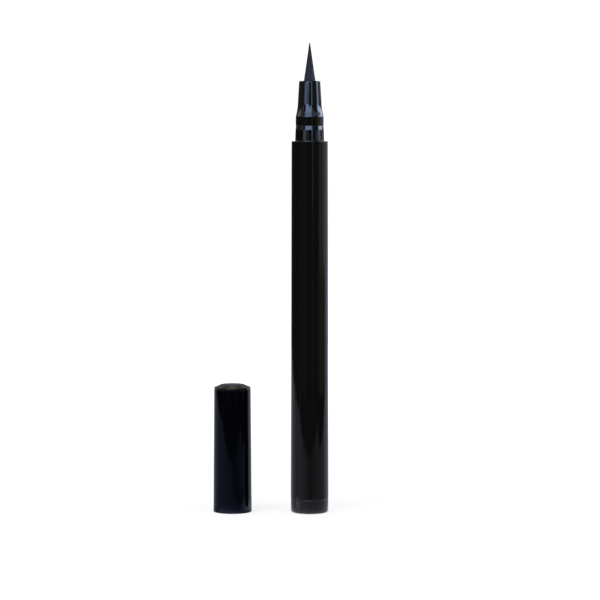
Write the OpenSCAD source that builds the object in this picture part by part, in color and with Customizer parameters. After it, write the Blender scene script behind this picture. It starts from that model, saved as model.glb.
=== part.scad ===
// Liquid eyeliner pen with a brush tip, standing on its tail with its cap off beside it.
// Millimetres, +Z up. The origin is where the pen's axis meets the surface that it stands on.

/* [Barrel] */
// Length of the barrel, from the tail plug's flange to the shoulder
barrel_len = 100; // [80:1:130]
// Diameter of the barrel at the shoulder
barrel_front_d = 10.06; // [9.4:0.02:12]
// Diameter of the barrel at the tail
barrel_tail_d = 10.56; // [9.4:0.02:12.4]
// Wall of the barrel round the section's shank
socket_wall = 0.93; // [0.6:0.01:1]
// Depth of the socket that takes the section's shank
socket_len = 25; // [22:1:35]
// Ledge at the socket's floor, where the ink tank's bore begins
socket_ledge = 0.3; // [0.2:0.05:0.5]
// Rounding of the shoulder's edge
shoulder_round = 0.15; // [0.1:0.05:0.4]
// Bevel of the barrel's tail edge, which shows as a fine bright seam
tail_bevel = 0.14; // [0.05:0.01:0.3]

/* [Tail plug] */
// Height of the plug's flange, on which the pen stands
plug_len = 3.9; // [2.6:0.1:8]
// How far the flange stands in from the barrel's tail, all round
plug_inset = 0.04; // [0:0.01:0.2]
// Rounding of the flange's bottom edge
plug_round = 0.7; // [0.4:0.1:2]
// Length of the spigot that goes up into the tank
spigot_len = 7; // [5:0.5:12]
// Diameter of the cup in the spigot, where the mixing ball rests
cup_d = 4.5; // [3.6:0.1:4.8]
// Thickness of the plug under the middle of the cup
cup_floor = 2; // [1:0.1:2.4]
// Drop of the cup's floor from its edge to its middle
cup_drop = 0.5; // [0.2:0.1:0.8]

/* [Section] */
// Diameter of the section at its mouth
mouth_d = 5.9; // [5.5:0.02:6.2]
// Diameter where the front cone turns into the flare
waist_d = 6.6; // [6:0.02:7]
// Diameter of the bead that the cap snaps over
bead_d = 7.76; // [7.2:0.02:7.9]
// Diameter of the step behind the groove
step_d = 7.88; // [7.6:0.02:8]
// Diameter of the section at the barrel's shoulder
root_d = 8.06; // [7.8:0.02:8.2]
// Length of the front cone
cone_len = 6.3; // [5:0.1:9]
// Length of the flare
flare_len = 3.62; // [2:0.02:6]
// Length of the bead
bead_len = 2.38; // [1:0.01:3]
// Depth of the groove behind the bead
groove_depth = 0.09; // [0.03:0.01:0.2]
// Length of the ledge that drops from the bead into the groove
groove_ledge = 0.15; // [0.05:0.01:0.3]
// Length of the ramp from the groove out to the step
ramp_len = 1.15; // [0.8:0.05:3]
// Length of the step
step_len = 3.1; // [1.5:0.1:5]
// Rounding of the mouth's edge
mouth_round = 0.28; // [0.1:0.02:0.4]
// Fillet at the foot of the section
root_fillet = 0.1; // [0.05:0.05:0.4]
// Wall of the section's shank round the collector
shank_wall = 0.57; // [0.4:0.01:0.8]
// Wall of the section at its groove
neck_wall = 0.85; // [0.6:0.05:1.1]
// Length of the thick part of the shank, which carries the seal
seal_land = 5; // [3:0.5:8]
// Length of the narrow hole in the mouth
mouth_land = 2.1; // [1:0.1:3]

/* [Brush] */
// Diameter of the bundle of filaments
brush_d = 3.4; // [2.4:0.1:3.4]
// Length of the bundle in front of the section
nib_len = 10.8; // [6:0.1:16]
// How deep inside the mouth the filaments come apart
nib_sunk = 0.4; // [0.1:0.1:1]
// Length of the collar on the bundle's root
collar_len = 7.4; // [4:0.1:9]
// Wall of the collar
collar_wall = 0.5; // [0.3:0.05:0.6]
// Rings of filaments round the middle one
brush_rings = 10; // [9:1:11]

/* [Ink feed] */
// Diameter of the fibre core
core_d = 2; // [1.6:0.1:2.2]
// How far the core reaches out of the bush into the tank
core_tail = 2.5; // [1:0.1:10]
// Wall of the collector's middle tube
hub_wall = 0.65; // [0.4:0.05:0.8]
// Thickness of one fin
fin_thick = 0.3; // [0.2:0.05:0.4]
// Distance from one fin to the next
fin_pitch = 0.8; // [0.6:0.05:1.5]
// Width of the ink slit along the fins
slit_width = 0.25; // [0.15:0.05:0.4]
// Thickness of the bush's flange
bush_flange = 0.8; // [0.5:0.1:1.5]
// Length of the bush's body inside the shank
bush_len = 3; // [2:0.1:5]
// Length of the bush's nozzle in the tank
nozzle_len = 4; // [2:0.5:8]
// Diameter of the air hole in the bush
air_hole_d = 0.7; // [0.4:0.1:0.9]
// Diameter of the mixing ball
ball_d = 3; // [2:0.1:3.4]

/* [Cap] */
// Length of the cap's shell
cap_len = 34.6; // [30:0.1:45]
// Diameter of the cap at its mouth
cap_mouth_d = 10.76; // [10:0.02:12]
// Diameter just behind the mouth's lip
cap_base_d = 10.7; // [9.8:0.02:12]
// Diameter of the cap at its closed end
cap_end_d = 10.26; // [9.6:0.02:12]
// Length of the mouth's lip
cap_lip = 1.6; // [0.8:0.1:3]
// Rounding of the mouth's outer edge
cap_mouth_round = 0.3; // [0.1:0.05:0.4]
// Height of the seam between the shell and the end piece
end_seam = 0.26; // [0.1:0.01:0.4]
// Depth of the seam
seam_depth = 0.15; // [0.05:0.01:0.3]
// Height of the end piece's side above the seam
end_band = 0.21; // [0.1:0.01:0.5]
// Rounding of the end piece's edge
end_round = 0.15; // [0.05:0.01:0.2]
// Height of the bevel from the end piece's side up to its face
end_rise = 0.88; // [0.4:0.01:1.6]
// Diameter of the end piece's flat face
face_d = 6.32; // [4:0.02:8]
// Rounding between the bevel and the face
face_round = 1.2; // [0.2:0.1:2]
// Length of the end piece's spigot
end_spigot = 1.2; // [0.8:0.1:3]
// Wall of the end piece's spigot
end_wall = 0.8; // [0.5:0.1:1.2]
// Depth of the recess under the end, which takes the spring
end_recess = 0.5; // [0.2:0.1:0.8]
// Distance between the cap and the barrel where they stand
stand_gap = 10.97; // [2:0.01:40]
// How far behind the pen the cap stands
stand_back = 0.7; // [-10:0.1:10]

/* [Inner cap] */
// Height above the shoulder at which the inner cap seals on the section
lip_height = 12.4; // [11:0.1:14]
// How far the inner cap moves when the cap is put on
seal_travel = 1.2; // [0.5:0.1:1.8]
// Rise of the ledge on which the inner cap rests
stop_rise = 0.27; // [0.15:0.01:0.4]
// Length of the ledge
stop_len = 0.5; // [0.4:0.1:1.5]
// Wall of the inner cap
inner_wall = 0.8; // [0.5:0.05:1]
// Length of the sealing lip
lip_len = 0.8; // [0.4:0.1:2]
// Room above the brush's tip when the cap is on
tip_room = 0.8; // [0.3:0.1:1]
// Thickness of the inner cap's end
inner_end = 0.9; // [0.5:0.1:1.2]

/* [Spring] */
// Diameter of the wire
wire_d = 0.35; // [0.25:0.05:0.45]
// Mean diameter of the coil
coil_d = 4.8; // [3.6:0.1:5.6]
// Turns of wire
coil_turns = 4.5; // [3:0.5:5]
// Length of the spring when the cap is on
spring_closed_len = 5.6; // [4:0.1:8]

/* [Seals] */
// Thickness of the tail's rubber ring
tail_cord = 0.8; // [0.5:0.05:0.9]
// Thickness of the section's rubber ring
neck_cord = 0.6; // [0.4:0.05:0.7]
// Spare width of a ring's groove
groove_slack = 0.2; // [0.1:0.05:0.4]

/* [Fits] */
// Radial gap between pieces that are pressed together
press_gap = 0.03; // [0.01:0.01:0.06]
// Radial gap between pieces that slide
slide_gap = 0.06; // [0.03:0.01:0.12]
// Gap on each side of a rubber ring
seal_gap = 0.02; // [0.01:0.01:0.05]
// Radial gap between the collector's fins and their chamber
fin_gap = 0.1; // [0.05:0.01:0.2]
// Radial gap between the brush and the mouth's hole
mouth_gap = 0.05; // [0.03:0.01:0.1]
// Radial gap between the section's root and the cap
cap_gap = 0.08; // [0.04:0.01:0.15]
// Gap under the mixing ball and at the spring's ends
rest_gap = 0.04; // [0.02:0.01:0.1]

/* [Hidden] */
$fn = 96;
// Every cut runs past the face that it opens by this much
overrun = 0.5;
// Bevels that help one piece into another
lead_in = 0.2;
// Steps of a rounded edge and of the flare
round_steps = 6;

// Barrel and tail plug
front_r = barrel_front_d / 2;
tail_r = barrel_tail_d / 2;
socket_r = front_r - socket_wall;
tank_r = socket_r - socket_ledge;
shoulder_z = plug_len + barrel_len;
socket_z = shoulder_z - socket_len;
plug_r = tail_r - plug_inset;
spigot_r = tank_r - press_gap;
cup_r = cup_d / 2;
cup_slope = atan(cup_drop / cup_r);
tail_seal_z = plug_len + spigot_len / 2;
ball_r = ball_d / 2;
ball_z = cup_floor + ball_r / cos(cup_slope) + rest_gap;

// Section: heights are counted from the shoulder
mouth_r = mouth_d / 2;
waist_r = waist_d / 2;
bead_r = bead_d / 2;
groove_r = bead_r - groove_depth;
step_r = step_d / 2;
root_r = root_d / 2;
ramp_h = step_len + ramp_len;
bead_h = ramp_h + groove_ledge;
flare_h = bead_h + bead_len;
waist_h = flare_h + flare_len;
neck_len = waist_h + cone_len;
cone_slope = (waist_r - mouth_r) / cone_len;
mouth_z = shoulder_z + neck_len;
shank_r = socket_r - press_gap;
shank_z = socket_z + bush_flange;
chamber_r = shank_r - shank_wall;
chamber_top_z = shoulder_z - seal_land;
front_chamber_r = groove_r - neck_wall;
front_chamber_z = shoulder_z + bead_h + bead_len / 2;
neck_seal_z = shoulder_z - seal_land / 2;

// Brush and ink feed
brush_r = brush_d / 2;
hole_r = brush_r + mouth_gap;
collar_r = brush_r + press_gap + collar_wall;
collar_bore_r = collar_r + press_gap;
collar_top_z = mouth_z - mouth_land;
brush_root_z = collar_top_z - collar_len;
nib_root_z = mouth_z - nib_sunk;
core_r = core_d / 2;
core_bore_r = core_r + press_gap;
hub_r = core_bore_r + hub_wall;
bush_top_z = shank_z + bush_len;
nozzle_z = socket_z - nozzle_len;
core_z = nozzle_z - core_tail;
// The filaments lean as if they met past the tip, at this share of the nib's height
lean_share = 0.87;
// Filaments keep most of their width up to this share of their own length
body_share = 0.7;
body_width_share = 0.85;
tip_width_share = 0.25;
// The longest and shortest filaments of one ring differ by this share, spread over the ring by
// steps of the golden share, which never repeat
ragged_share = 0.06;
golden_share = 0.618;

// Cap: heights are counted from its mouth
cap_bore_r = root_r + cap_gap;
cap_end_r = cap_end_d / 2;
// The snap ring lies in the section's groove when the cap is on
snap_r = bead_r - press_gap;
snap_len = 0.7;
snap_h = ramp_h - snap_len / 4;
end_web_z = cap_len + end_recess;
spigot_end_r = cap_bore_r - press_gap;
// The inner cap hangs from the closed end by its spring
inner_r = cap_bore_r - slide_gap;
inner_bore_r = inner_r - inner_wall;
lip_r = mouth_r + cone_slope * (neck_len - lip_height);
inner_len = neck_len - lip_height + nib_len + tip_room + inner_end;
inner_top_z = end_web_z - spring_closed_len - seal_travel;
inner_ceiling_z = inner_top_z - inner_end;
inner_z = inner_top_z - inner_len;
stand_x = -(tail_r + stand_gap + cap_mouth_d / 2);

// Spring: eight rings of six points to a turn
wire_r = wire_d / 2;
coil_r = coil_d / 2;
wire_sides = 6;
turn_rings = 8;
coil_low_z = inner_top_z + wire_r + rest_gap;
coil_rise = end_web_z - inner_top_z - wire_d - 2 * rest_gap;

// Points of a round stretch about centre c, from angle a to angle b
function arc(c, r, a, b) =
    [for (i = [0:round_steps]) let (t = a + (b - a) * i / round_steps) c + r * [cos(t), sin(t)]];

// Radius of the section's flare at a distance d behind the waist
function flare_r(d) =
    waist_r + cone_slope * d
    + (bead_r - waist_r - cone_slope * flare_len) * pow(d / flare_len, 2);

// Groove in a turned piece for a rubber ring: centre height, outer radius and cord
module ring_groove(z, r, cord) {
    rotate_extrude()
        translate([r - cord - seal_gap, z - (cord + groove_slack) / 2])
            square([cord + seal_gap + overrun, cord + groove_slack]);
}

// Rubber ring that lies inside a bore of radius r
module ring(z, r, cord) {
    rotate_extrude()
        translate([r - seal_gap - cord / 2, z])
            circle(d = cord - seal_gap, $fn = 48);
}

module barrel() {
    color("#101012")
        rotate_extrude()
            polygon(concat(
                [[tank_r, plug_len], [tail_r - tail_bevel, plug_len], [tail_r, plug_len + tail_bevel]],
                arc([front_r - shoulder_round, shoulder_z - shoulder_round], shoulder_round, 0, 90),
                [[socket_r + lead_in, shoulder_z], [socket_r, shoulder_z - lead_in]],
                [[socket_r, socket_z], [tank_r, socket_z]]
            ));
}

module tail_plug() {
    color("#2d2d30")
        difference() {
            rotate_extrude()
                polygon(concat(
                    [[0, 0]],
                    arc([plug_r - plug_round, plug_round], plug_round, -90, 0),
                    [[plug_r, plug_len - tail_bevel], [plug_r - tail_bevel, plug_len]],
                    [[spigot_r, plug_len], [spigot_r, plug_len + spigot_len - lead_in]],
                    [[spigot_r - lead_in, plug_len + spigot_len], [cup_r, plug_len + spigot_len]],
                    [[cup_r, cup_floor + cup_drop], [0, cup_floor]]
                ));
            ring_groove(tail_seal_z, tank_r, tail_cord);
        }
}

module tail_seal_ring() {
    color("#1b1b1b")
        ring(tail_seal_z, tank_r, tail_cord);
}

module section() {
    color("#17171a")
        difference() {
            rotate_extrude()
                polygon(concat(
                    [[shank_r - lead_in, shank_z], [shank_r, shank_z + lead_in]],
                    [[shank_r, shoulder_z], [root_r + root_fillet, shoulder_z]],
                    arc([root_r + root_fillet, shoulder_z + root_fillet], root_fillet, 270, 180),
                    [[step_r, shoulder_z + step_len], [groove_r, shoulder_z + ramp_h]],
                    [[bead_r, shoulder_z + bead_h]],
                    [for (i = [0:round_steps])
                        let (d = flare_len * (1 - i / round_steps)) [flare_r(d), shoulder_z + waist_h - d]],
                    arc([mouth_r - mouth_round, mouth_z - mouth_round], mouth_round, 0, 90),
                    [[hole_r, mouth_z], [hole_r, collar_top_z], [collar_bore_r, collar_top_z]],
                    [[collar_bore_r, front_chamber_z], [front_chamber_r, front_chamber_z]],
                    [[front_chamber_r, chamber_top_z], [chamber_r, chamber_top_z], [chamber_r, shank_z]]
                ));
            ring_groove(neck_seal_z, socket_r, neck_cord);
        }
}

module section_seal_ring() {
    color("#1b1b1b")
        ring(neck_seal_z, socket_r, neck_cord);
}

// Filaments. The bundle's end is a triangular lattice of rings, and ring k has 6 k points.
// Each triangle that stands on its outer side grows into a filament of three sides, and the
// triangles between them stay flat, so each filament keeps to its own cell as the lattice narrows.
function lattice_count(k) = k < 0 ? 0 : 1 + 3 * k * (k + 1);
function lattice_index(k, j) = k == 0 ? 0 : lattice_count(k - 1) + j % (6 * k);
function lattice_point(k, j) =
    k == 0 ? [0, 0] : brush_r * k / brush_rings * [cos(60 * j / k), sin(60 * j / k)];
lattice_end = lattice_count(brush_rings);
rim_count = 6 * brush_rings;
// One entry for each filament and for each flat cell: three pairs of ring and place
filaments = [
    for (k = [1:brush_rings]) for (s = [0:5]) for (i = [0:k - 1])
        [[k, s * k + i], [k, s * k + i + 1], [k - 1, s * (k - 1) + i]]
];
flat_cells = [
    for (k = [2:brush_rings]) for (s = [0:5]) for (i = [0:k - 2])
        [[k - 1, s * (k - 1) + i], [k, s * k + i + 1], [k - 1, s * (k - 1) + i + 1]]
];

// Outline of a filament at share t of the nib's height, drawn in about its middle to a share of its cell
function filament_section(cell, t, width_share) =
    let (
        corners = [for (c = cell) lattice_point(c[0], c[1])],
        middle = (corners[0] + corners[1] + corners[2]) / 3
    )
    [for (p = corners) let (q = (1 - lean_share * t) * (middle + width_share * (p - middle)))
        [q[0], q[1], t * (nib_len + nib_sunk)]];

// Share of the nib's height at which filament m ends, so that the tips together make a cone
function filament_end(cell, m) =
    let (
        corners = [for (c = cell) lattice_point(c[0], c[1])],
        k = norm(corners[0] + corners[1] + corners[2]) / 3 / brush_r,
        full = (1 - k) / (1 - lean_share * k)
    )
    full * (1 - ragged_share * (golden_share * m - floor(golden_share * m)));

module brush_nib() {
    root = brush_root_z - nib_root_z;
    first = lattice_end + rim_count;
    points = concat(
        [for (k = [0:brush_rings]) for (j = [0:max(6 * k - 1, 0)])
            let (p = lattice_point(k, j)) [p[0], p[1], 0]],
        [for (j = [0:rim_count - 1]) let (p = lattice_point(brush_rings, j)) [p[0], p[1], root]],
        [for (m = [0:len(filaments) - 1]) let (t = filament_end(filaments[m], m)) each concat(
            filament_section(filaments[m], body_share * t, body_width_share),
            filament_section(filaments[m], t, tip_width_share)
        )]
    );
    faces = concat(
        [[for (j = [0:rim_count - 1]) lattice_end + j]],
        [for (j = [0:rim_count - 1])
            let (
                a = lattice_index(brush_rings, j),
                b = lattice_index(brush_rings, j + 1),
                c = lattice_end + j,
                d = lattice_end + (j + 1) % rim_count
            )
            each [[a, b, c], [b, d, c]]],
        [for (cell = flat_cells) [for (i = [2:-1:0]) lattice_index(cell[i][0], cell[i][1])]],
        [for (m = [0:len(filaments) - 1])
            let (
                low = [for (c = filaments[m]) lattice_index(c[0], c[1])],
                mid = first + 6 * m,
                top = mid + 3
            )
            each concat(
                [for (i = [0:2]) let (n = (i + 1) % 3) each [
                    [low[i], mid + i, low[n]], [low[n], mid + i, mid + n],
                    [mid + i, top + i, mid + n], [mid + n, top + i, top + n]
                ]],
                [[top + 2, top + 1, top]]
            )]
    );
    color("#23262e")
        translate([0, 0, nib_root_z])
            polyhedron(points, faces);
}

module brush_collar() {
    color("#3a3a3d")
        rotate_extrude()
            polygon([
                [brush_r + press_gap, brush_root_z], [collar_r, brush_root_z],
                [collar_r, collar_top_z - lead_in], [collar_r - lead_in, collar_top_z],
                [brush_r + press_gap, collar_top_z],
            ]);
}

module feed_core() {
    color("#d9d6cc")
        rotate_extrude()
            polygon([
                [0, core_z], [core_r - lead_in, core_z], [core_r, core_z + lead_in],
                [core_r, brush_root_z - lead_in], [core_r - lead_in, brush_root_z], [0, brush_root_z],
            ]);
}

// Outline of a stack of fins of radius r that starts at height z and fills a length
function fin_stack(r, z, length) =
    let (count = floor((length + fin_pitch - fin_thick) / fin_pitch))
    [for (i = [0:count - 1]) let (low = z + i * fin_pitch) each [
        [hub_r, low], [r, low], [r, low + fin_thick], [hub_r, low + fin_thick]
    ]];

module collector() {
    rear_len = chamber_top_z - bush_top_z - fin_gap;
    front_z = chamber_top_z + fin_gap;
    front_len = front_chamber_z - front_z - fin_gap;
    color("#e6e6e4")
        difference() {
            rotate_extrude()
                polygon(concat(
                    [[core_bore_r, bush_top_z]],
                    fin_stack(chamber_r - fin_gap, bush_top_z, rear_len),
                    fin_stack(front_chamber_r - fin_gap, front_z, front_len),
                    [[hub_r, brush_root_z], [core_bore_r, brush_root_z]]
                ));
            translate([0, -slit_width / 2, bush_top_z + fin_thick])
                cube([chamber_r, slit_width, front_chamber_z - bush_top_z - fin_thick]);
        }
}

module tank_bush() {
    body_r = chamber_r - press_gap;
    air_x = (hub_r + body_r) / 2;
    color("#c9c9c6")
        difference() {
            rotate_extrude()
                polygon([
                    [core_bore_r, nozzle_z], [hub_r, nozzle_z], [hub_r, socket_z],
                    [shank_r, socket_z], [shank_r, shank_z], [body_r, shank_z],
                    [body_r, bush_top_z], [core_bore_r, bush_top_z],
                ]);
            translate([air_x, 0, socket_z - overrun])
                cylinder(d = air_hole_d, h = bush_top_z - socket_z + 2 * overrun);
        }
}

module mixing_ball() {
    color("#b8bbc0")
        translate([0, 0, ball_z])
            sphere(r = ball_r);
}

// Puts a piece of the cap where the cap stands
module at_cap() {
    translate([stand_x, stand_back, 0])
        children();
}

module cap_shell() {
    base_r = cap_base_d / 2;
    mouth_side_r = cap_mouth_d / 2;
    color("#0e1218")
        at_cap()
            rotate_extrude()
                polygon(concat(
                    arc([mouth_side_r - cap_mouth_round, cap_mouth_round], cap_mouth_round, -90, 0),
                    [[base_r, cap_lip], [cap_end_r, cap_len], [cap_bore_r, cap_len]],
                    [[cap_bore_r, inner_z], [cap_bore_r - stop_rise, inner_z]],
                    [[cap_bore_r - stop_rise, inner_z - stop_len]],
                    [[cap_bore_r, inner_z - stop_len - stop_rise]],
                    [[cap_bore_r, snap_h + snap_len / 2], [snap_r, snap_h]],
                    [[cap_bore_r, snap_h - snap_len / 2]],
                    [[cap_bore_r, lead_in], [cap_bore_r + lead_in, 0]]
                ));
}

module cap_top() {
    // The edge's arc and the face's arc both touch the bevel
    seam_z = cap_len + end_seam;
    bevel_z = seam_z + end_band;
    face_z = bevel_z + end_rise;
    lean = atan(end_rise / (cap_end_r - face_d / 2));
    edge_z = bevel_z + end_round * (tan(lean) - 1 / cos(lean));
    face_arc_r = face_d / 2 - face_round * tan(lean / 2);
    color("#1c1d1f")
        at_cap()
            rotate_extrude()
                polygon(concat(
                    [[0, end_web_z], [spigot_end_r - end_wall, end_web_z]],
                    [[spigot_end_r - end_wall, cap_len - end_spigot]],
                    [[spigot_end_r - lead_in, cap_len - end_spigot]],
                    [[spigot_end_r, cap_len - end_spigot + lead_in], [spigot_end_r, cap_len]],
                    [[cap_end_r - seam_depth, cap_len], [cap_end_r - seam_depth, seam_z], [cap_end_r, seam_z]],
                    arc([cap_end_r - end_round, edge_z], end_round, 0, 90 - lean),
                    arc([face_arc_r, face_z - face_round], face_round, 90 - lean, 90),
                    [[0, face_z]]
                ));
}

module inner_cap() {
    color("#dcdcd8")
        at_cap()
            rotate_extrude()
                polygon([
                    [lip_r + lead_in, inner_z], [inner_r, inner_z],
                    [inner_r, inner_top_z - lead_in], [inner_r - lead_in, inner_top_z],
                    [0, inner_top_z], [0, inner_ceiling_z],
                    [inner_bore_r - inner_wall, inner_ceiling_z],
                    [inner_bore_r, inner_ceiling_z - inner_wall],
                    [inner_bore_r, inner_z + lip_len], [lip_r, inner_z + lip_len - lead_in],
                    [lip_r, inner_z + lead_in],
                ]);
}

// Middle of the wire after a number of turns
function coil_point(turn) =
    [coil_r * cos(360 * turn), coil_r * sin(360 * turn), coil_rise * turn / coil_turns];

coil_rings = coil_turns * turn_rings;
coil_path = [for (i = [0:coil_rings]) coil_point(i / turn_rings)];
// Least gap of the wire to itself, from points that are more than half a turn apart
coil_gap = min([for (i = [0:coil_rings]) for (j = [i + turn_rings / 2 + 1:1:coil_rings])
    norm(coil_path[i] - coil_path[j])]) - wire_d;

module inner_cap_spring() {
    climb = atan(coil_rise / (2 * PI * coil_r * coil_turns));
    points = [for (i = [0:coil_rings]) let (a = 360 * i / turn_rings) for (s = [0:wire_sides - 1])
        let (
            b = 360 * s / wire_sides,
            out = [cos(a), sin(a), 0],
            up = [sin(a) * sin(climb), -cos(a) * sin(climb), cos(climb)]
        )
        coil_path[i] + wire_r * (cos(b) * out + sin(b) * up)];
    faces = concat(
        [[for (s = [wire_sides - 1:-1:0]) s]],
        [for (i = [0:coil_rings - 1]) for (s = [0:wire_sides - 1])
            let (
                a = i * wire_sides + s,
                b = i * wire_sides + (s + 1) % wire_sides,
                c = a + wire_sides,
                d = b + wire_sides
            )
            each [[a, b, c], [b, d, c]]],
        [[for (s = [0:wire_sides - 1]) coil_rings * wire_sides + s]]
    );
    echo(least_gap_of_spring = coil_gap);
    color("#a9adb3")
        at_cap()
            translate([0, 0, coil_low_z])
                polyhedron(points, faces);
}

barrel();
tail_plug();
tail_seal_ring();
section();
section_seal_ring();
brush_nib();
brush_collar();
feed_core();
collector();
tank_bush();
mixing_ball();
cap_shell();
cap_top();
inner_cap();
inner_cap_spring();
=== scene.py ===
"""Liquid eyeliner pen with a brush tip, on its tail, with its cap standing beside it.

Every turned piece is an outline that one Geometry Nodes tree turns about its axis. The brush is a bundle of
separate filaments and the cap's spring is a coil, each from a tree of its own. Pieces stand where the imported
frame has them, in metres, with +Z along the pen's axis.
"""

import logging
import math
from dataclasses import dataclass, field
from enum import Enum
from functools import partial
from typing import Any

import bpy
from bpy.types import Material, Mesh, Node, NodeSocket, NodeTree, Object, World
from mathutils import Matrix, Vector


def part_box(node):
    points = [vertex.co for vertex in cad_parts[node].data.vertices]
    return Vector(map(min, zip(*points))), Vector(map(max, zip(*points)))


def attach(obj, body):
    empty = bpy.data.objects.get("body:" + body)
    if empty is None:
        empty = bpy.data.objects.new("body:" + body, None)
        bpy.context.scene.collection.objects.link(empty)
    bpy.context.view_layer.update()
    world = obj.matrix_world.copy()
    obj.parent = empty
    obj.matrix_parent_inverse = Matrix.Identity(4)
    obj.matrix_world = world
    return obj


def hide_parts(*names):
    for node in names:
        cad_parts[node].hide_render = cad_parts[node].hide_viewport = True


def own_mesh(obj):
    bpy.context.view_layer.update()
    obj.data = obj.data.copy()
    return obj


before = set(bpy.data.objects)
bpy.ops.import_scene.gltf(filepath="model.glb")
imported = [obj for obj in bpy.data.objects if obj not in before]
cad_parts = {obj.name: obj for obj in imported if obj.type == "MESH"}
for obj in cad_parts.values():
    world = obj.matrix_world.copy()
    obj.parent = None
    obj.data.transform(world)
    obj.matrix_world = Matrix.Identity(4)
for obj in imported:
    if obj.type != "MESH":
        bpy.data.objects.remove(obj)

log = logging.getLogger("eyeliner_pen")

MM = 0.001
WHITE = (1.0, 1.0, 1.0, 1.0)
# Noise seldom leaves this range, so a finish spreads its roughness over it
NOISE_LOW, NOISE_HIGH = 0.3, 0.7


class Body(str, Enum):
    """Bodies that pieces ride on."""

    PEN = "pen"
    CAP = "cap"
    LINER = "liner"
    BALL = "ball"


def linear(hex_colour: str) -> tuple[float, float, float, float]:
    """Turns an sRGB hex colour into linear values.

    Args:
        hex_colour: Colour such as "#1a2b3c".

    Returns:
        Linear red, green, blue and an alpha of 1.
    """
    shares = [int(hex_colour[i : i + 2], 16) / 255 for i in (1, 3, 5)]
    parts = [s / 12.92 if s <= 0.04045 else ((s + 0.055) / 1.055) ** 2.4 for s in shares]
    return parts[0], parts[1], parts[2], 1.0


def add_node(tree: NodeTree, kind: str, links: dict[Any, Any] | None = None, **settings: Any) -> Node:
    """Adds a node with its settings and links.

    Args:
        tree: Tree that takes the node.
        kind: Type name of the node.
        links: Input name or number, and the output to link or the value to set there.
        settings: Properties of the node itself.

    Returns:
        The new node.
    """
    node = tree.nodes.new(kind)
    for key, value in settings.items():
        setattr(node, key, value)
    for key, value in (links or {}).items():
        if isinstance(value, NodeSocket):
            tree.links.new(value, node.inputs[key])
        else:
            node.inputs[key].default_value = value
    return node


def new_material(name: str, socket_values: dict[str, Any]) -> tuple[Material, Node]:
    """Makes a material whose Principled shader has these constants.

    Args:
        name: Name of the real material.
        socket_values: Values for the shader's own sockets.

    Returns:
        The material and its Principled shader.
    """
    material = bpy.data.materials.new(name)
    material.use_nodes = True
    shader = material.node_tree.nodes["Principled BSDF"]
    for key, value in socket_values.items():
        shader.inputs[key].default_value = value
    return material, shader


def arithmetic(tree: NodeTree, operation: str, *values: Any) -> NodeSocket:
    """Adds one step of arithmetic on these values or outputs and returns its result."""
    return add_node(tree, "ShaderNodeMath", dict(enumerate(values)), operation=operation).outputs[0]


def span(
    tree: NodeTree, value: NodeSocket, low: Any, high: Any, start: Any = 0.0, end: Any = 1.0,
    smooth: bool = False,
) -> NodeSocket:
    """Maps a range to another one.

    Args:
        tree: Tree that takes the node.
        value: Value to map.
        low: Value that becomes start.
        high: Value that becomes end.
        start: Result at low, and below it.
        end: Result at high, and above it.
        smooth: True for a soft start and end.

    Returns:
        The mapped value.
    """
    ranges = {"Value": value, "From Min": low, "From Max": high, "To Min": start, "To Max": end}
    way = "SMOOTHSTEP" if smooth else "LINEAR"
    return add_node(tree, "ShaderNodeMapRange", ranges, interpolation_type=way).outputs[0]


def blend(tree: NodeTree, share: NodeSocket, first: Any, second: Any) -> NodeSocket:
    """Blends two colours by a share of the second and returns the result."""
    # This node has its sockets once for each type of data: these are the ones for colours
    return add_node(tree, "ShaderNodeMix", {0: share, 6: first, 7: second}, data_type="RGBA").outputs[2]


def ramp(tree: NodeTree, value: NodeSocket, stops: tuple[tuple[float, Any], ...]) -> NodeSocket:
    """Adds a colour ramp.

    Args:
        tree: Tree that takes the node.
        value: Place on the ramp, from 0 to 1.
        stops: Rising places and their colours.

    Returns:
        The colour.
    """
    node = add_node(tree, "ShaderNodeValToRGB", {0: value})
    elements = node.color_ramp.elements
    for element, (position, colour) in zip(elements, (stops[0], stops[-1])):
        element.position = position
        element.color = (*colour, 1.0)
    for position, colour in stops[1:-1]:
        elements.new(position).color = (*colour, 1.0)
    return node.outputs[0]


def split(tree: NodeTree, vector: NodeSocket) -> Any:
    """Takes a vector apart and returns its parts by the names X, Y and Z."""
    return add_node(tree, "ShaderNodeSeparateXYZ", {0: vector}).outputs


def own_place(tree: NodeTree) -> NodeSocket:
    """Returns the place on the piece, in metres."""
    return add_node(tree, "ShaderNodeTexCoord").outputs["Object"]


def grain(tree: NodeTree, detail: float, across_mm: float, along_mm: float = 0.0) -> NodeSocket:
    """Adds noise with grains of a real size.

    Args:
        tree: Tree that takes the nodes.
        detail: Detail of the noise.
        across_mm: Size of a grain.
        along_mm: Its size along Z, where that is another one.

    Returns:
        The noise.
    """
    place, scale = own_place(tree), 1 / (across_mm * MM)
    if along_mm:
        scales = (scale, scale, 1 / (along_mm * MM))
        place = add_node(tree, "ShaderNodeMapping", {"Vector": place, "Scale": scales}).outputs[0]
        scale = 1.0
    values = {"Vector": place, "Scale": scale, "Detail": detail}
    return add_node(tree, "ShaderNodeTexNoise", values).outputs["Fac"]


def bare_tree(owner: Material | World) -> NodeTree:
    """Turns on the nodes of a material or world, takes out those that it has and returns its tree."""
    owner.use_nodes = True
    owner.node_tree.nodes.clear()
    return owner.node_tree


def new_object(name: str, data: Any) -> Object:
    """Makes an object of this data in the scene and returns it."""
    made = bpy.data.objects.new(name, data)
    bpy.context.scene.collection.objects.link(made)
    return made


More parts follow.
